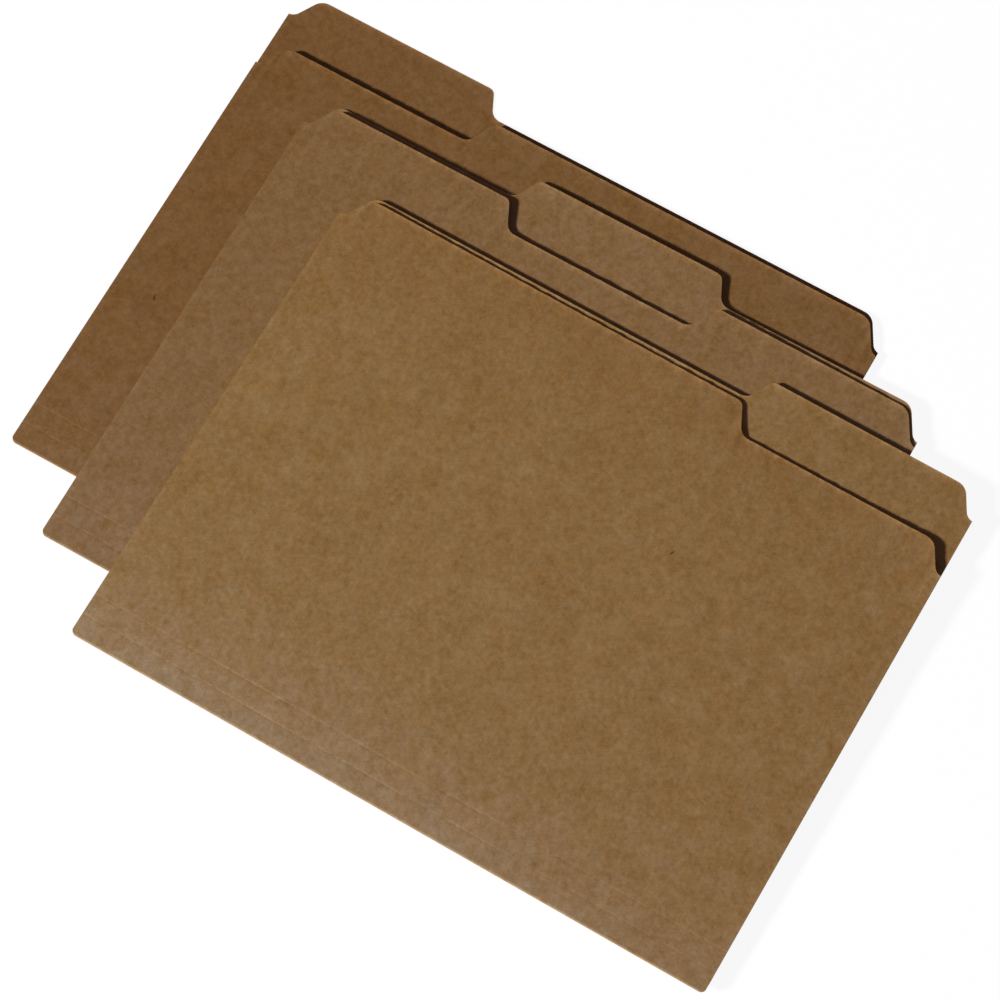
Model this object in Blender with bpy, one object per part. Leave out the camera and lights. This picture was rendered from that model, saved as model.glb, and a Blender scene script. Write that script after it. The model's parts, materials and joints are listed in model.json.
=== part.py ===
"""A fanned set of three letter-size kraft file folders, each one scored and folded sheet of board."""

import math

import bpy
import numpy as np
from mathutils import Vector

# The sheet that every folder is cut from, in metres
BOARD = 0.0003
FOLDER_WIDTH = 0.29845
BACK_HEIGHT = 0.2294
TAB_RISE = 0.0119
TAB_BREAKS = (-0.0494, 0.0454)
FRONT_SHORTFALL = 0.0027
UNDERCUT = 0.0134
CORNER_DROP = 0.014
TAB_CORNER_DROP = 0.0125
CORNER_INSET = 0.006
FOLD_CORNER_RADIUS = 0.002
ARC_STEPS = 8

# The die's S curves, at the sides of a tab and at the sheet's top corners
TAB_CURVE = {"radius": 0.0035, "slope": math.radians(64)}
CORNER_CURVE = {"radius": 0.005, "slope": math.radians(60)}

# The bottom fold and the two expansion scores of the cover
FOLD_HEIGHT = 0.0014
FOLD_CLEARANCE = 0.00021
SCORE_PITCH = 0.0095
SCORE_GAP = 0.0003

# How the folders lie on each other
COVER_SPRING = math.radians(0.2)
LAY_ANGLE = math.radians(0.25)
STACK_GAP = 0.0003

# Each folder from the table up: tab position, shift and turn on the cover below, board colour
FOLDERS = [
    {"name": "bottom", "tab": "left", "shift": (0.0, 0.0), "turn": 0.0,
     "colour": (0.195, 0.093, 0.035)},
    {"name": "middle", "tab": "centre", "shift": (0.0334, -0.0292), "turn": 0.0,
     "colour": (0.220, 0.118, 0.047)},
    {"name": "top", "tab": "right", "shift": (0.0339, -0.0323), "turn": math.radians(-0.56),
     "colour": (0.245, 0.136, 0.054)},
]
BOARD_ROUGHNESS = 0.85

SIDE = FOLDER_WIDTH / 2
FRONT_HEIGHT = BACK_HEIGHT - FRONT_SHORTFALL
FOLD_GAP = BOARD / 2 + FOLD_CLEARANCE


def clear_scene():
    for item in list(bpy.data.objects):
        bpy.data.objects.remove(item, do_unlink=True)


def board_material(name, colour):
    material = bpy.data.materials.new(name)
    material.use_nodes = True
    shader = material.node_tree.nodes["Principled BSDF"]
    shader.inputs["Base Color"].default_value = (*colour, 1.0)
    shader.inputs["Roughness"].default_value = BOARD_ROUGHNESS
    shader.inputs["Metallic"].default_value = 0.0
    material.diffuse_color = (*colour, 1.0)
    return material


def place(item, parent, location=(0, 0, 0), rotation=(0, 0, 0)):
    item.parent = parent
    item.location = location
    item.rotation_euler = rotation
    return item


def axis_empty(name, group, parent, location=(0, 0, 0), rotation=(0, 0, 0)):
    """An empty on a crease line, along its local X."""
    empty = bpy.data.objects.new(name, None)
    empty.empty_display_size = FOLDER_WIDTH / 10
    group.objects.link(empty)
    return place(empty, parent, location, rotation)


def board_piece(name, outline, group, colour):
    """A flat piece of board: the outline filled on both sides, its middle plane at local Z = 0."""
    curve = bpy.data.curves.new(name, "CURVE")
    curve.dimensions = "2D"
    curve.fill_mode = "BOTH"
    curve.extrude = BOARD / 2
    spline = curve.splines.new("POLY")
    spline.points.add(len(outline) - 1)
    for point, (x, y) in zip(spline.points, outline):
        point.co = (x, y, 0.0, 1.0)
    spline.use_cyclic_u = True
    curve.materials.append(board_material(name, colour))
    piece = bpy.data.objects.new(name, curve)
    group.objects.link(piece)
    return piece


def s_curve(middle, start, end, curve):
    """Points of the die's S from one level to the next: an arc, a steep straight, an arc back.

    Where the rise is too small for both full arcs, they meet at the slope that fits in it.
    """
    rise, sign = abs(end - start), math.copysign(1.0, end - start)
    slope = min(curve["slope"], math.acos(max(-1.0, 1.0 - rise / (2 * curve["radius"]))))
    angles = np.linspace(0.0, slope, ARC_STEPS + 1)
    out = curve["radius"] * np.sin(angles)
    up = curve["radius"] * (1.0 - np.cos(angles))
    run = (rise - 2 * up[-1]) / math.tan(slope)
    reach = out[-1] + run / 2
    first = np.column_stack([middle - reach + out, start + sign * up])
    second = np.column_stack([middle + reach - out, end - sign * up])[::-1]
    return np.vstack([first, second])


def top_edge(first_level, steps):
    """The cut top edge from the left side to the right: an S at each (place, new level, curve)."""
    level, curves = first_level, []
    for middle, new_level, curve in steps:
        curves.append(s_curve(middle, level, new_level, curve))
        level = new_level
    line = np.vstack([[(-2 * SIDE, first_level)], *curves, [(2 * SIDE, level)]])
    inside = line[np.abs(line[:, 0]) < SIDE]
    ends = [(x, np.interp(x, line[:, 0], line[:, 1])) for x in (-SIDE, SIDE)]
    return np.vstack([ends[0], inside, ends[1]])


def bottom_edge(start, radius):
    """The straight lower edge from right to left, with its two corners rounded."""
    angles = np.linspace(0.0, math.pi / 2, ARC_STEPS + 1) if radius else np.zeros(1)
    across = SIDE - radius + radius * np.cos(angles)
    right = np.column_stack([across, start + radius - radius * np.sin(angles)])
    left = right[::-1] * (-1, 1)
    return np.vstack([right, left])


def panel_outline(start, radius, edge):
    return np.vstack([edge, bottom_edge(start, radius)])


def strip_outline(start, end, radius=0.0):
    return panel_outline(start, radius, np.array([(-SIDE, end), (SIDE, end)]))


def tab_span(tab):
    """Where the tab's two sides cross its middle height; a side tab runs out past the sheet's side."""
    left, right = TAB_BREAKS
    return {"left": (None, left), "centre": (left, right), "right": (right, None)}[tab]


def cut_steps(tab, level, tab_level):
    """Top edge of a panel whose height over the tab's span is tab_level and elsewhere level."""
    corner = SIDE - CORNER_INSET
    left, right = tab_span(tab)
    first, first_drop = (tab_level, TAB_CORNER_DROP) if left is None else (level, CORNER_DROP)
    last, last_drop = (tab_level, TAB_CORNER_DROP) if right is None else (level, CORNER_DROP)
    steps = [(-corner, first, CORNER_CURVE)]
    if left is not None:
        steps.append((left, tab_level, TAB_CURVE))
    if right is not None:
        steps.append((right, level, TAB_CURVE))
    steps.append((corner, last - last_drop, CORNER_CURVE))
    return first - first_drop, steps


def build_folder(folder, group, below):
    """One folder on the cover below it. Returns its cover's axis empty at the second score."""
    name, tab, colour = folder["name"], folder["tab"], folder["colour"]
    x, y = folder["shift"]
    resting = below is not None
    height = BOARD + STACK_GAP if resting else BOARD / 2
    corner = (x, y - 2 * SCORE_PITCH * resting, height)
    lay = (LAY_ANGLE if resting else 0.0, 0.0, folder["turn"])
    fold = axis_empty(name + "_fold_axis", group, below, corner, lay)

    back_edge = top_edge(*cut_steps(tab, BACK_HEIGHT, BACK_HEIGHT + TAB_RISE))
    back = panel_outline(FOLD_GAP, FOLD_CORNER_RADIUS, back_edge)
    place(board_piece(name + "_back_panel", back, group, colour), fold)

    spine_reach = SIDE - FOLD_CORNER_RADIUS
    spine = [(-spine_reach, FOLD_GAP), (spine_reach, FOLD_GAP),
             (spine_reach, FOLD_HEIGHT - FOLD_GAP), (-spine_reach, FOLD_HEIGHT - FOLD_GAP)]
    upright = (math.pi / 2, 0, 0)
    place(board_piece(name + "_fold_spine", spine, group, colour), fold, rotation=upright)

    cover = axis_empty(name + "_cover_axis", group, fold, (0, 0, FOLD_HEIGHT), (COVER_SPRING, 0, 0))
    lower = strip_outline(FOLD_GAP, SCORE_PITCH - SCORE_GAP / 2, FOLD_CORNER_RADIUS)
    place(board_piece(name + "_lower_gusset", lower, group, colour), cover)

    score_1 = axis_empty(name + "_score_1_axis", group, cover, (0, SCORE_PITCH, 0))
    upper = strip_outline(SCORE_GAP / 2, SCORE_PITCH - SCORE_GAP / 2)
    place(board_piece(name + "_upper_gusset", upper, group, colour), score_1)

    score_2 = axis_empty(name + "_score_2_axis", group, score_1, (0, SCORE_PITCH, 0))
    front_edge = top_edge(*cut_steps(tab, FRONT_HEIGHT, FRONT_HEIGHT - UNDERCUT))
    front_edge = front_edge - (0, 2 * SCORE_PITCH)
    front = panel_outline(SCORE_GAP / 2, 0.0, front_edge)
    place(board_piece(name + "_front_panel", front, group, colour), score_2)
    return score_2


def centre_on_footprint(root, group):
    """Moves the whole set so that its footprint is centred on the origin."""
    bpy.context.view_layer.update()
    corners = [item.matrix_world @ Vector(corner)
               for item in group.objects if item.type == "CURVE" for corner in item.bound_box]
    low, high = np.min(corners, axis=0), np.max(corners, axis=0)
    root.location.x -= (low[0] + high[0]) / 2
    root.location.y -= (low[1] + high[1]) / 2


def main():
    clear_scene()
    group = bpy.data.collections.new("kraft_file_folders")
    bpy.context.scene.collection.children.link(group)
    cover = None
    for folder in FOLDERS:
        cover = build_folder(folder, group, cover)
    centre_on_footprint(bpy.data.objects["bottom_fold_axis"], group)
    bpy.context.view_layer.update()


main()
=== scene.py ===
# Three letter-size kraft file folders, closed and fanned on a white table
import json
import math

import bpy
import numpy as np
from mathutils import Matrix, Vector


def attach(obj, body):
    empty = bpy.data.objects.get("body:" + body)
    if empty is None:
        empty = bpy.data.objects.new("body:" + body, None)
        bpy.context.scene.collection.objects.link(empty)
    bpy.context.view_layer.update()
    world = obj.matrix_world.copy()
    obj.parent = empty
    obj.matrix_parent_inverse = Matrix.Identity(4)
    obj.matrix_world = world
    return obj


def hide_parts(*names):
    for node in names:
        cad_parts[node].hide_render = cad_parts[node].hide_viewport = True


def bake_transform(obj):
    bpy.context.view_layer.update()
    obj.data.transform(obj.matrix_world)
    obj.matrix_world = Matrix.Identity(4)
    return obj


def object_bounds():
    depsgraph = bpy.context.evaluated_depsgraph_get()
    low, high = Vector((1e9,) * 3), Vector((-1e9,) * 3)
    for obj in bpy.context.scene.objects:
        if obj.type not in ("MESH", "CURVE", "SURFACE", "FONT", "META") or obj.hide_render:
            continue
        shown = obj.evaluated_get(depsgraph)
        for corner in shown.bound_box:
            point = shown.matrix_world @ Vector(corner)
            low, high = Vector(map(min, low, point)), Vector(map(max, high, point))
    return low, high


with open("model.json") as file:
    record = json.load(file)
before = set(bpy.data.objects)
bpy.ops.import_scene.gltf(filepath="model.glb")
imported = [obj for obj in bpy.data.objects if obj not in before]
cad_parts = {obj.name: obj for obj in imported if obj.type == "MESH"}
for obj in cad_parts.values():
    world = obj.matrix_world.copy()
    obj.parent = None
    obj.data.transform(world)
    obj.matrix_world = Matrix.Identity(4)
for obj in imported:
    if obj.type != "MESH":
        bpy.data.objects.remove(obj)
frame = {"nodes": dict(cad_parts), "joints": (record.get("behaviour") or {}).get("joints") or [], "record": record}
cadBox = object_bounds()
print("frame loaded:", len(frame["nodes"]), "boards")

# The die-cut sheet that all three folders share, in metres
board = {
    "thickness": 0.0003,
    "width": 0.29845,
    "backHeight": 0.2294,
    "tabRise": 0.0119,
    "tabBreaks": (-0.0499, 0.0451),    # across the sheet, where one tab ends and the next begins
    "frontShortfall": 0.0027,          # the cover ends this far below the back
    "undercut": 0.0134,                # and this much lower again in front of the tab
    "cornerDrop": 0.014,
    "tabCornerDrop": 0.0125,           # at the corner that carries the tab
    "cornerInset": 0.006,
    "tabCurve": {"inner": 0.006, "outer": 0.0035, "slope": math.radians(64)},
    "cornerCurve": {"inner": 0.005, "outer": 0.0065, "slope": math.radians(60)},
    "foldCorner": 0.0024,
    "foldHeight": 0.0014,
    "cadFoldGap": 0.00036,             # from the fold's line to the CAD boards that start at it
    "scorePitch": 0.0095,
    "creaseGap": 0.00002,
    "mitre": 0.15,                     # slope of the two edges that meet at the upper score, open below
    "beadTurn": (0.6, 1.0),            # of the fold's height, where the bead goes over from back to cover
    "sharpAngle": math.radians(50),
}
side = board["width"] / 2
foldRadius = board["foldHeight"] / 2
frontHeight = board["backHeight"] - board["frontShortfall"]
scoreLines = (board["scorePitch"], 2 * board["scorePitch"])

# From the table up. Tone is the linear colour at the left side, and drift is its change to the right one. The
# sheen
# entries paint a sheen: a paler, bluer change by the fold on the lamp's side, which dies away over their reach.
# Head is the tone's change at the cover's top edge, and shift and turn lay the paper's pattern. The springs are
# how far in metres the top of the back and of the cover stand from flat at the left, the middle and the right, and
# tabLift and curl how far the tab and the cover's right corner bend up from that. The cover's step is moved by
# frontShift, and its edge leans by slant
folders = {
    "bottom": {"tab": "left", "tone": (0.1586, 0.0723, 0.0212), "drift": (1.12, 1.20, 1.33),
               "paintedSheen": (1.13, 1.22, 1.45), "paintedSheenReach": 0.035, "head": (1.0, 1.0, 1.0),
               "shift": (3.1, 1.7, 0.4), "turn": 0.3, "seed": 11, "frontShift": 0.003, "slant": 0.0,
               "backSpring": (0.0, 0.0, 0.0), "coverSpring": (0.00035, 0.00035, 0.0003),
               "tabLift": 0.0, "curl": 0.0},
    "middle": {"tab": "centre", "tone": (0.186, 0.0941, 0.0323), "drift": (1.12, 1.20, 1.36),
               "paintedSheen": (1.10, 1.19, 1.48), "paintedSheenReach": 0.055, "head": (1.0, 0.98, 0.95),
               "shift": (7.3, 4.9, 1.1), "turn": 1.9, "seed": 23, "frontShift": -0.0005, "slant": 0.0,
               "backSpring": (-0.0005, 0.0, 0.0007), "coverSpring": (-0.0005, 0.0002, -0.0008),
               "tabLift": 0.00105, "curl": 0.0},
    "top": {"tab": "right", "tone": (0.224, 0.1196, 0.0388), "drift": (0.97, 0.97, 1.03),
            "paintedSheen": (1.155, 1.33, 1.98), "paintedSheenReach": 0.025, "head": (0.92, 0.85, 0.78),
            "shift": (5.6, 9.2, 2.3), "turn": 1.1, "seed": 37, "frontShift": -0.0005, "slant": -0.003,
            "backSpring": (0.00035, 0.0004, -0.0003), "coverSpring": (-0.00035, -0.00062, -0.0003),
            "tabLift": 0.0, "curl": 0.0016},
}


def sStep(x, middle, rise, curve):
    # The die's S at one place, 0 before it and rise after it: an arc, a straight at the die's slope that is
    # halfway up at the middle, and an arc back. The corner left in the sheet is the inner one
    tall, slope = abs(rise), curve["slope"]
    radii = [curve[kind] for kind in (("inner", "outer") if rise > 0 else ("outer", "inner"))]
    out = [radius * math.sin(slope) for radius in radii]
    up = [radius * (1 - math.cos(slope)) for radius in radii]
    run = (tall - sum(up)) / math.tan(slope)
    past = x - middle + out[0] + (tall / 2 - up[0]) / math.tan(slope)
    ahead = out[0] + run + out[1] - past
    first = radii[0] - np.sqrt(radii[0] ** 2 - np.clip(past, 0, out[0]) ** 2)
    last = tall - radii[1] + np.sqrt(radii[1] ** 2 - np.clip(ahead, 0, out[1]) ** 2)
    straight = up[0] + (past - out[0]) * math.tan(slope)
    height = np.where(past < out[0], first, np.where(ahead < out[1], last, straight))
    return math.copysign(1, rise) * height


def cutEdge(x, tab, level, tabLevel, shift=0.0):
    # Height of the cut top edge over x: level, or tabLevel along the tab, less the drop at both corners.
    # The shift moves the tab's two ends
    corner = side - board["cornerInset"]
    drops = [board["tabCornerDrop"] if tab == end else board["cornerDrop"] for end in ("left", "right")]
    left, right = (place + shift for place in board["tabBreaks"])
    first = tabLevel if tab == "left" else level
    height = first - drops[0] + sStep(x, -corner, drops[0], board["cornerCurve"])
    if tab != "left":
        start = left if tab == "centre" else right
        height = height + sStep(x, start, tabLevel - level, board["tabCurve"])
    if tab != "right":
        end = left if tab == "left" else right
        height = height + sStep(x, end, level - tabLevel, board["tabCurve"])
    return height + sStep(x, corner, -drops[1], board["cornerCurve"])


def cornerEdge(x):
    # The folded sheet's lower edge: straight along the fold, and a quarter circle up at both corners
    radius = board["foldCorner"]
    past = np.clip(np.abs(x) - (side - radius), 0, radius)
    return radius - np.sqrt(radius**2 - past**2)


def foldEdge(x):
    # Where a panel starts: at the bead's centre line, and past it at the corners
    return np.maximum(foldRadius, cornerEdge(x))


grid = {
    "columns": 280,
    "crowding": 7.0,               # how much closer the columns stand where an edge is steep
    "steepest": 3,                 # slope from which they stand no closer
    "trials": 8001,                # places across the sheet where the slope is read
    "panelRows": 70,
    "stripRows": 12,
    "beadColumns": 120,
    "beadRows": 14,
    "edgeSteps": (0.0001, 0.0002, 0.0003, 0.00045, 0.0006, 0.0008, 0.0011, 0.0015),
}


def columnsFor(*edges):
    # Positions across the sheet at equal shares of the running sum of 1 + crowding x edge slope
    fine = np.linspace(-side, side, grid["trials"])
    weight = np.ones_like(fine)
    for edge in edges:
        slope = np.abs(np.gradient(edge(fine), fine))
        weight += grid["crowding"] * np.minimum(slope, grid["steepest"])
    share = np.concatenate([[0], np.cumsum((weight[1:] + weight[:-1]) / 2)])
    x = np.interp(np.linspace(0, share[-1], grid["columns"]), share, fine)
    margin = side - np.array(grid["edgeSteps"])
    return np.unique(np.concatenate([x, margin, -margin]))


def rowsFor(count, length):
    # Shares from the lower edge to the upper one, evenly spaced, with extra rows just inside both edges
    near = np.array(grid["edgeSteps"]) / length
    return np.unique(np.concatenate([np.linspace(0, 1, count), near, 1 - near]))


# The scores' wear share paints their grooves paler
score = {"depth": 0.0001, "halfWidth": 0.0005, "wearAndHighlight": 0.35, "fade": 0.55,
         "patchiness": 0.5, "patchLength": 0.011, "sway": 2.1, "swayLength": 0.037}
ripple = {"height": 0.00005, "shortest": 0.004, "longest": 0.014, "count": 6, "reach": 0.007}
tabLift = {"slope": 0.03, "reach": 0.06}
curl = {"from": 0.10, "above": 0.15}
head = {"power": 6}


def edgeRipple(x, toTop, seed):
    # A cut edge that isn't quite straight: short sine waves along it, dying away into the sheet
    draw = np.random.default_rng(seed)
    length = draw.uniform(ripple["shortest"], ripple["longest"], ripple["count"])
    phase = draw.uniform(0, 2 * math.pi, ripple["count"])
    waves = np.sin(2 * math.pi * np.divide.outer(x, length) + phase).sum(axis=-1)
    return ripple["height"] * waves * np.exp(-toTop / ripple["reach"])


def spring(x, y, lifts, height):
    # A panel lifting away from flat: none at the fold, growing as the square of the height to its top edge,
    # where a parabola across the sheet takes it through the lifts at the left, the middle and the right
    left, centre, right = lifts
    across = x / side
    lift = centre + (right - left) / 2 * across + ((left + right) / 2 - centre) * across**2
    return lift * np.clip(y / height, 0, None) ** 2


def coverForm(x, y, toTop, folder):
    # Height of the cover over its own flat plane and its marks: the spring, the curl of one corner, the
    # ripple of the cut edge, and two pressed scores with a bell-shaped section, uneven and fading to the
    # right, which are painted paler. The head's share grows as a high power of the way up
    sway = score["sway"] * np.sin(x / score["swayLength"])
    patches = 0.5 + 0.5 * np.sin(x / score["patchLength"] + sway)
    press = (1 - score["patchiness"] * patches) * (1 - score["fade"] * (x + side) / board["width"])
    grooves = press * sum(np.exp(-(((y - line) / score["halfWidth"]) ** 2)) for line in scoreLines)
    out = np.clip((x - curl["from"]) / (side - curl["from"]), 0, 1)
    up = np.clip((y - curl["above"]) / (frontHeight - curl["above"]), 0, 1)
    lift = spring(x, y, folder["coverSpring"], frontHeight) + folder["curl"] * out**2 * up**2
    height = lift + edgeRipple(x, toTop, folder["seed"]) - score["depth"] * grooves
    return height, {"wearAndHighlight": score["wearAndHighlight"] * grooves, "head": (y / frontHeight) ** head["power"]}


def backForm(x, y, toTop, folder):
    # Height of the back over its flat plane: the spring, and the tab lifting in a hump that eases off at
    # both of its ends and grows as the square of the way up to its top. A side tab's outer end is taken to
    # lie past the sheet
    left, right = board["tabBreaks"]
    past = board["width"]
    start, end = {"left": (-past, left), "centre": (left, right), "right": (right, past)}[folder["tab"]]
    inside = np.clip(np.minimum(x - start, end - x) / tabLift["slope"] + 0.5, 0, 1)
    up = np.clip(1 - (board["backHeight"] + board["tabRise"] - y) / tabLift["reach"], 0, None)
    hump = folder["tabLift"] * inside**2 * (3 - 2 * inside) * up**2
    height = spring(x, y, folder["backSpring"], board["backHeight"]) + hump
    return height, {"wearAndHighlight": np.zeros_like(y), "head": np.zeros_like(y)}


def axisOf(name):
    # Direction of the fold, from the joint that turns on it
    joint = next(j for j in frame["joints"] if j["type"] == "hinge" and j["name"].startswith(name))
    return np.array(joint["axis"], float)


def planeOf(node, along):
    # Frame of a flat CAD board as rows X, Y, Z and its origin on the fold: Z is the board's thinnest
    # direction, X the fold's, and the origin is the middle of the board's lower edge less the fold's gap
    mesh = frame["nodes"][node].data
    points = np.empty(len(mesh.vertices) * 3)
    mesh.vertices.foreach_get("co", points)
    points = points.reshape(-1, 3)
    normal = np.linalg.svd(points - points.mean(axis=0), full_matrices=False)[2][2]
    normal *= np.sign(normal[2])
    right = along - normal * (along @ normal)
    right /= np.linalg.norm(right)
    axes = np.array([right, np.cross(normal, right), normal])
    local = points @ axes.T
    low, high = local.min(axis=0), local.max(axis=0)
    origin = np.array([(low[0] + high[0]) / 2, low[1] - board["cadFoldGap"], (low[2] + high[2]) / 2])
    return axes, origin @ axes


def quads(index):
    # Faces of a grid of point numbers, counter-clockwise with columns to the right and rows up
    return np.stack([index[:-1, :-1], index[:-1, 1:], index[1:, 1:], index[1:, :-1]], -1).reshape(-1, 4)


def boardMesh(name, middle, normal, marks, materials):
    # A board as a closed solid: the middle surface moved half the thickness out along its normal and half
    # in, and the two faces joined by a rim round the border of the grid. Marks are kept at each point
    rows, columns = middle.shape[:2]
    half = normal * board["thickness"] / 2
    points = np.concatenate([(middle + half).reshape(-1, 3), (middle - half).reshape(-1, 3)])
    index = np.arange(rows * columns).reshape(rows, columns)
    border = np.concatenate([index[0, :-1], index[:-1, -1], index[-1, :0:-1], index[:0:-1, 0]])
    after = np.roll(border, -1)
    under = rows * columns
    rim = np.stack([border + under, after + under, after, border], -1)
    outer = quads(index)
    inner = outer[:, ::-1] + under
    faces = np.concatenate([outer, inner, rim])

    mesh = bpy.data.meshes.new(name)
    mesh.vertices.add(len(points))
    mesh.vertices.foreach_set("co", points.astype(np.float32).ravel())
    mesh.loops.add(faces.size)
    mesh.loops.foreach_set("vertex_index", faces.astype(np.int32).ravel())
    mesh.polygons.add(len(faces))
    mesh.polygons.foreach_set("loop_start", np.arange(0, faces.size, 4, dtype=np.int32))
    kinds = np.zeros(len(faces), np.int32)
    kinds[-len(rim):] = 1
    for material in materials:
        mesh.materials.append(material)
    mesh.polygons.foreach_set("material_index", kinds)
    mesh.polygons.foreach_set("use_smooth", np.ones(len(faces), bool))
    for mark, amount in marks.items():
        kept = mesh.attributes.new(mark, "FLOAT", "POINT")
        kept.data.foreach_set("value", np.tile(amount.ravel(), 2).astype(np.float32))
    mesh.update(calc_edges=True)
    mesh.validate()
    mesh.set_sharp_from_angle(angle=board["sharpAngle"])
    piece = bpy.data.objects.new(name, mesh)
    bpy.context.scene.collection.objects.link(piece)
    return piece


# How far the pale marks of wear and painted highlight reach into the sheet, their share at the sides and the bead,
# and the painted sheen by the fold at the left side with its fade to the right
marked = {"wearAndHighlightReach": 0.0013, "sideWearAndHighlight": 0.2, "beadWearAndHighlight": 0.2, "paintedSheenLeft": 1.2, "paintedSheenFade": 0.75}


def placeMarks(x, y, folder):
    # The painted sheen falls off as an exponential from the fold, and fades with the square of the way
    # from the left side, where the lamp is, to the right
    across = (x + side) / board["width"]
    paintedSheen = np.exp(-y / folder["paintedSheenReach"]) * (marked["paintedSheenLeft"] - marked["paintedSheenFade"] * across**2)
    return {"paintedSheen": paintedSheen, "across": across}


def sheetPiece(name, plane, x, lower, upper, rows, form, folder, materials, cutTop=True, mitres=(0, 0)):
    # A flat board between two edges over x, raised from its plane by its form: y runs from lower to upper
    # in the shares of rows. The pale mark of wear and painted highlight falls off as a bell from the cut edges,
    # less at the sides and where the cut is steep, so the level top edges carry the most. The mitres lean the
    # lower and the upper edge, so that the upper face reaches past the middle
    axes, origin = plane
    y = lower + rows[:, None] * (upper - lower)
    across = np.broadcast_to(x, y.shape)
    level = np.cos(np.arctan(np.gradient(upper, x)))
    toSide, toTop = side - np.abs(across), (upper - y) * level if cutTop else np.full_like(y, side)
    z, marks = form(across, y, toTop, folder)
    middle = origin + np.stack([across, y, z], -1) @ axes
    normal = np.array(np.broadcast_to(axes[2], middle.shape))
    normal[0] -= mitres[0] * axes[1]
    normal[-1] += mitres[1] * axes[1]
    wornAndLit = [share * np.exp(-((away / marked["wearAndHighlightReach"]) ** 2))
            for share, away in ((level**2, toTop), (marked["sideWearAndHighlight"], toSide))]
    marks["wearAndHighlight"] = marks["wearAndHighlight"] + np.maximum(*wornAndLit)
    return boardMesh(name, middle, normal, {**marks, **placeMarks(across, y, folder)}, materials)


def beadPiece(name, plane, folder, materials):
    # The bottom fold: half a turn of the board from the back up to the cover, carried along the fold.
    # Round the half turn y = R - depth x cos, z = R(1 + sin), where the depth is R less the corner's rise
    axes, origin = plane
    reach = side - board["foldCorner"] + math.sqrt(foldRadius * (2 * board["foldCorner"] - foldRadius))
    x = reach * np.sin(np.linspace(-math.pi / 2, math.pi / 2, grid["beadColumns"]))
    turn = np.linspace(-math.pi / 2, math.pi / 2, grid["beadRows"])[:, None]
    across = np.broadcast_to(x, (len(turn), len(x)))
    outward = np.stack(np.broadcast_arrays(0 * across, -np.cos(turn), np.sin(turn)), -1)
    depth = foldRadius - cornerEdge(x)
    z = foldRadius * (1 + np.sin(turn)) + 0 * x
    middle = origin + np.stack([across, foldRadius - depth * np.cos(turn), z], -1) @ axes
    # Its pale mark, partly wear and partly a painted highlight, is strongest where the bead faces the lamp's side
    marks = {"wearAndHighlight": marked["beadWearAndHighlight"] * np.cos(turn) + 0 * across, "head": 0 * across}
    marks.update(placeMarks(across, 0 * across, folder))
    return boardMesh(name, middle, outward @ axes, marks, materials)


class Wire:
    # One output of a shader tree. Arithmetic on it adds Math nodes, and make adds any other node

    def __init__(self, tree, socket=None):
        self.tree = tree
        self.socket = socket

    def make(self, kind, settings=None, inputs=None, output=0):
        node = self.tree.nodes.new("ShaderNode" + kind)
        for key, value in (settings or {}).items():
            setattr(node, key, value)
        for key, value in (inputs or {}).items():
            if isinstance(value, Wire):
                self.tree.links.new(value.socket, node.inputs[key])
            else:
                node.inputs[key].default_value = value
        return Wire(self.tree, node.outputs[output] if node.outputs else None)

    def math(self, operation, *values):
        return self.make("Math", {"operation": operation}, dict(enumerate(values)))

    def __add__(self, other):
        return self.math("ADD", self, other)

    def __sub__(self, other):
        return self.math("SUBTRACT", self, other)

    def __rsub__(self, other):
        return self.math("SUBTRACT", other, self)

    def __mul__(self, other):
        return self.math("MULTIPLY", self, other)

    def __gt__(self, other):
        return self.math("GREATER_THAN", self, other)

    __radd__ = __add__
    __rmul__ = __mul__

    def fade(self, start, end):
        # 0 at start and 1 at end, eased
        limits = {"Value": self, "From Min": start, "From Max": end}
        return self.make("MapRange", {"interpolation_type": "SMOOTHSTEP"}, limits)

    def noise(self, size, detail=0.0):
        # Smooth random values about 0, with features of this size in metres
        settings = {"Vector": self, "Scale": 1 / size, "Detail": detail}
        return self.make("TexNoise", None, settings) - 0.5

    def blend(self, low, high):
        # From colour low at 0 to colour high at 1
        return self.make("Mix", {"data_type": "RGBA"}, {0: self, 6: low, 7: high}, output=2)

    def scaled(self, colour):
        return self.make("VectorMath", {"operation": "SCALE"}, {"Vector": colour, "Scale": self})

    def tinted(self, colour):
        return self.make("VectorMath", {"operation": "MULTIPLY"}, {0: self, 1: colour})

    def mark(self, name):
        return self.make("Attribute", {"attribute_name": name}, output="Fac")


kraft = {
    "roughness": 0.86, "roughnessGrain": 0.15,
    "specular": 0.12,
    "layers": ((0.016, 0.22), (0.005, 0.36), (0.0024, 0.48)),      # size and depth of the tone's variations
    "grainSize": 0.0011, "grain": 0.33,
    "fibreLength": 0.0042, "fibreWidth": 0.0006, "fibreTurns": (0.4, 1.45, 2.5), "fibre": 0.18,
    "flecks": (                    # dark bits, one in some cells of this length and width: turn, share, tone
        {"cell": (0.018, 0.007), "turn": 0.9, "share": 0.025, "tone": 0.35},
        {"cell": (0.050, 0.004), "turn": 2.3, "share": 0.035, "tone": 0.65},
    ),
    "fleckSize": (0.034, 0.1105),  # of its cell, to where it is full and to where it ends
    "cloudSize": 0.008, "cloudContrast": 1.5, "cloud": (0.985, 1.06, 1.25),
    # How much paler a cut edge is, and how the marks of wear and painted highlight pale the tone
    "paleness": 1.5, "wearAndHighlightShare": 0.8,
    "dark": (0.6, 0.475, 0.175), "pale": (1.4, 1.525, 1.825),      # of the tone, at the ends of its variation
    "bump": 0.00002, "fibreRelief": 0.6,
}


def times(colour, factor):
    return tuple(c * f for c, f in zip(colour, np.broadcast_to(factor, 3))) + (1.0,)


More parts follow.
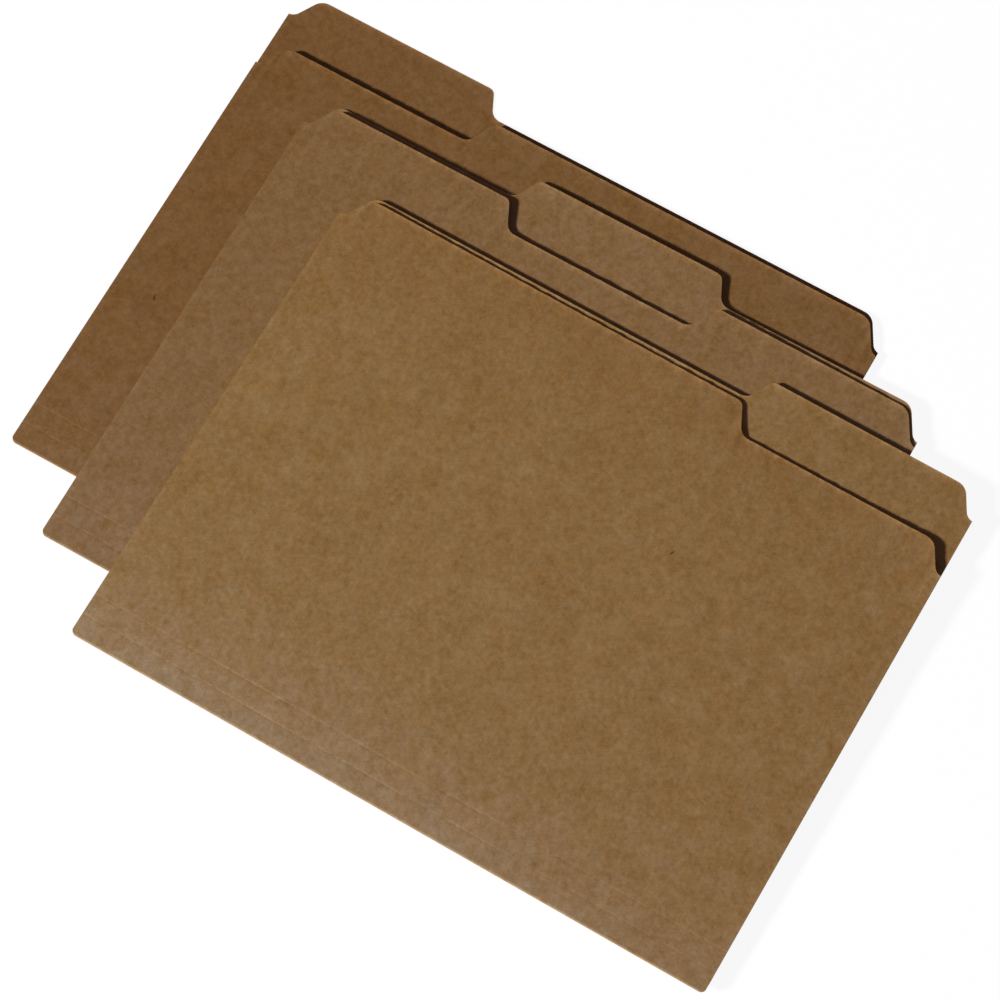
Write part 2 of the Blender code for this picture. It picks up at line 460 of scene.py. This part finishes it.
def kraftMaterial(name, folder, edge=False):
    # Uncoated kraft: layers of noise and grain vary the tone, paler being greyer, short fibres cross it in
    # three directions, a painted sheen lies by the fold, the tone drifts from side to side and to the cover's
    # head, and there are a few dark flecks. The marks of wear and painted highlight are paler, and so is a cut
    # edge
    material = bpy.data.materials.new(name)
    material.use_nodes = True
    tree = material.node_tree
    tree.nodes.clear()
    start = Wire(tree)
    place = start.make("TexCoord", output="Object")
    laid = {"Vector": place, "Location": folder["shift"], "Rotation": (0, 0, folder["turn"])}
    paper = start.make("Mapping", None, laid)

    grain = paper.noise(kraft["grainSize"], detail=2)
    tint = 0.5 + kraft["grain"] * grain
    for size, depth in kraft["layers"]:
        tint = tint + depth * paper.noise(size, detail=1)
    fibres = 0
    for turn in kraft["fibreTurns"]:
        stretch = (1 / kraft["fibreLength"], 1 / kraft["fibreWidth"], 1 / kraft["fibreWidth"])
        turned = start.make("Mapping", None, {"Vector": paper, "Rotation": (0, 0, turn)})
        strands = start.make("Mapping", None, {"Vector": turned, "Scale": stretch})
        fibres = fibres + strands.noise(1.0)
    tint = tint + kraft["fibre"] * fibres

    strength = 1
    for fleck in kraft["flecks"]:
        length, width = fleck["cell"]
        turned = start.make("Mapping", None, {"Vector": paper, "Rotation": (0, 0, fleck["turn"])})
        drawn = start.make("Mapping", None, {"Vector": turned, "Scale": (1 / length, 1 / width, 0)})
        cells = {"Vector": drawn, "Scale": 1.0}
        distance = start.make("TexVoronoi", None, cells, output="Distance")
        chosen = start.make("TexVoronoi", None, cells, output="Color")
        chosen = start.make("SeparateColor", None, {"Color": chosen}) > 1 - fleck["share"]
        seen = chosen * (1 - distance.fade(*kraft["fleckSize"]))
        strength = strength * (1 - (1 - fleck["tone"]) * seen)

    tone = times(folder["tone"], kraft["paleness"] if edge else 1.0)
    cloud = (0.5 + kraft["cloudContrast"] * paper.noise(kraft["cloudSize"], detail=1)).fade(0, 1)
    tone = tint.blend(times(tone, kraft["dark"]), times(tone, kraft["pale"]))
    # The painted sheen by the fold, the drift across the sheet and the head each tint the tone
    changes = [(start.mark(mark), folder[change])
               for mark, change in (("paintedSheen", "paintedSheen"), ("across", "drift"), ("head", "head"))]
    for share, factor in [(cloud, kraft["cloud"])] + changes:
        tone = tone.tinted(share.blend((1, 1, 1, 1), times((1, 1, 1), factor)))
    # Paler where the marks say so: partly real wear, partly a painted highlight on the level cut edges and fold
    if not edge:
        wornAndLit = start.mark("wearAndHighlight") * (kraft["wearAndHighlightShare"] + grain)
        strength = strength * (1 + (kraft["paleness"] - 1) * wornAndLit)
    relief = grain + kraft["fibreRelief"] * fibres
    bump = start.make("Bump", None, {"Height": relief, "Distance": kraft["bump"], "Strength": 1.0})
    surface = {
        "Base Color": strength.scaled(tone),
        "Roughness": kraft["roughness"] - kraft["roughnessGrain"] * grain,
        "Specular IOR Level": kraft["specular"],
        "Normal": bump,
    }
    shader = start.make("BsdfPrincipled", None, surface)
    start.make("OutputMaterial", None, {"Surface": shader})
    return material


def buildFolder(name, folder):
    along = axisOf(name)
    backPlane = planeOf(name + "_back_panel", along)
    coverPlane = planeOf(name + "_lower_gusset", along)
    materials = [kraftMaterial(name + "_kraft", folder), kraftMaterial(name + "_kraft_edge", folder, True)]
    tab, gap, mitre = folder["tab"], board["creaseGap"] / 2, board["mitre"]
    mitreGap = gap + mitre * board["thickness"] / 2
    firstScore, secondScore = scoreLines

    def backTop(x):
        return cutEdge(x, tab, board["backHeight"], board["backHeight"] + board["tabRise"])

    def frontTop(x):
        edge = cutEdge(x, tab, frontHeight, frontHeight - board["undercut"], folder["frontShift"])
        return edge + folder["slant"] * x

    x = columnsFor(backTop, foldEdge)
    rows = rowsFor(grid["panelRows"], board["backHeight"])
    back = sheetPiece(name + "_back_sheet", backPlane, x, foldEdge(x) + gap, backTop(x), rows, backForm,
                      folder, materials)
    bead = beadPiece(name + "_fold_bead", backPlane, folder, materials)

    x = columnsFor(foldEdge)
    rows = rowsFor(grid["stripRows"], firstScore)
    lowerTop, upperFoot, upperTop = (
        np.full_like(x, y) for y in (firstScore - gap, firstScore + gap, secondScore - mitreGap))
    lower = sheetPiece(name + "_lower_gusset_strip", coverPlane, x, foldEdge(x) + gap, lowerTop, rows,
                       coverForm, folder, materials, cutTop=False)
    upper = sheetPiece(name + "_upper_gusset_strip", coverPlane, x, upperFoot, upperTop, rows,
                       coverForm, folder, materials, cutTop=False, mitres=(0, mitre))

    x = columnsFor(frontTop)
    rows = rowsFor(grid["panelRows"], frontHeight - secondScore)
    frontFoot = np.full_like(x, secondScore + mitreGap)
    front = sheetPiece(name + "_front_sheet", coverPlane, x, frontFoot, frontTop(x), rows, coverForm,
                       folder, materials, mitres=(mitre, 0))

    pieces = {"back_panel": back, "fold_spine": bead, "lower_gusset": lower, "upper_gusset": upper,
              "front_panel": front}
    bodyOf = {node: body for body, nodes in frame["record"]["behaviour"]["bodies"].items() for node in nodes}
    for node, piece in pieces.items():
        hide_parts(f"{name}_{node}")
        if piece is not bead:
            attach(piece, bodyOf[f"{name}_{node}"])
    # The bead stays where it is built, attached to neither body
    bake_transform(bead)
    print("folder built:", name)


for folderName, folderSettings in folders.items():
    buildFolder(folderName, folderSettings)


def seenDirectly(start):
    # 1 for rays that reach the eye from here, straight, mirrored or through glass, and 0 for light
    kinds = ("Is Camera Ray", "Is Glossy Ray", "Is Transmission Ray")
    camera, glossy, through = (start.make("LightPath", output=kind) for kind in kinds)
    return camera.math("MAXIMUM", camera.math("MAXIMUM", camera, glossy), through)


table = {"halfSize": 4.0, "drop": 0.0002, "colour": (0.97, 0.97, 0.97, 1), "glow": 0.92}


def makeTable():
    # A plain white floor just under the folders. Seen by the camera it is mostly its own white,
    # with a share of its lit surface, so that the folders' shadow stays on it
    half, height = table["halfSize"], cadBox[0].z - table["drop"]
    corners = [(-half, -half, height), (half, -half, height), (half, half, height), (-half, half, height)]
    mesh = bpy.data.meshes.new("table")
    mesh.from_pydata(corners, [], [(0, 1, 2, 3)])
    floor = bpy.data.objects.new("table", mesh)
    bpy.context.scene.collection.objects.link(floor)
    material = bpy.data.materials.new("white_table")
    material.use_nodes = True
    material.node_tree.nodes.clear()
    start = Wire(material.node_tree)
    lit = start.make("BsdfDiffuse", None, {"Color": table["colour"]})
    white = start.make("Emission", None, {"Color": (1, 1, 1, 1), "Strength": 1.0})
    surface = start.make("MixShader", None, {0: seenDirectly(start) * table["glow"], 1: lit, 2: white})
    start.make("OutputMaterial", None, {"Surface": surface})
    mesh.materials.append(material)


makeTable()
print("table laid")

lamp = {
    "shadowWay": (0.73, 0.68),     # over the folders, the way the shadows fall
    "elevation": math.radians(27.5),
    "distance": 9.0,
    "size": 1.26,
    "key": 0.9055,                 # share of a flat surface's own colour that the lamp brings out
    "keyColour": (0.976, 1.0, 0.964),
    "fill": 0.1375,
    "fillColour": (0.92, 0.76, 1.0, 1),
}


def makeLight():
    # One lamp low on the fold's side, and a weak even fill from the world, a little violet, which is white
    # to the camera. The lamp's power brings a level surface at its distance and height to the key's share
    away = Vector((*lamp["shadowWay"], 0)).normalized() * math.cos(lamp["elevation"])
    source = Vector((-away.x, -away.y, math.sin(lamp["elevation"])))
    light = bpy.data.lights.new("key_lamp", "AREA")
    light.shape = "DISK"
    light.size = lamp["size"]
    light.color = lamp["keyColour"]
    light.energy = lamp["key"] / math.sin(lamp["elevation"]) * (math.pi * lamp["distance"]) ** 2
    key = bpy.data.objects.new("key_lamp", light)
    key.location = source * lamp["distance"]
    key.rotation_euler = source.to_track_quat("Z", "Y").to_euler()
    bpy.context.scene.collection.objects.link(key)

    world = bpy.data.worlds.new("studio")
    bpy.context.scene.world = world
    world.use_nodes = True
    world.node_tree.nodes.clear()
    start = Wire(world.node_tree)
    fill = start.make("Background", None, {"Color": lamp["fillColour"], "Strength": lamp["fill"]})
    white = start.make("Background", None, {"Color": (1, 1, 1, 1), "Strength": 1.0})
    surface = start.make("MixShader", None, {0: seenDirectly(start), 1: fill, 2: white})
    start.make("OutputWorld", None, {"Surface": surface})


makeLight()

view = {
    "aim": (0.007611, -0.010108, 0.0),
    "azimuth": math.radians(29.308),
    "elevation": math.radians(71.169),
    "distance": 1.52415,
    "roll": math.radians(0.345),
    "lens": 131.187,
    "sensor": 36.0,
}


def makeCamera():
    back = Vector((math.sin(view["azimuth"]) * math.cos(view["elevation"]),
                   -math.cos(view["azimuth"]) * math.cos(view["elevation"]),
                   math.sin(view["elevation"])))
    lens = bpy.data.cameras.new("camera")
    lens.lens = view["lens"]
    lens.sensor_width = view["sensor"]
    camera = bpy.data.objects.new("camera", lens)
    camera.location = Vector(view["aim"]) + back * view["distance"]
    turn = back.to_track_quat("Z", "Y").to_matrix() @ Matrix.Rotation(view["roll"], 3, "Z")
    camera.rotation_euler = turn.to_euler()
    bpy.context.scene.collection.objects.link(camera)
    bpy.context.scene.camera = camera


makeCamera()
bpy.context.scene.view_settings.view_transform = "Standard"
print("light and camera set")
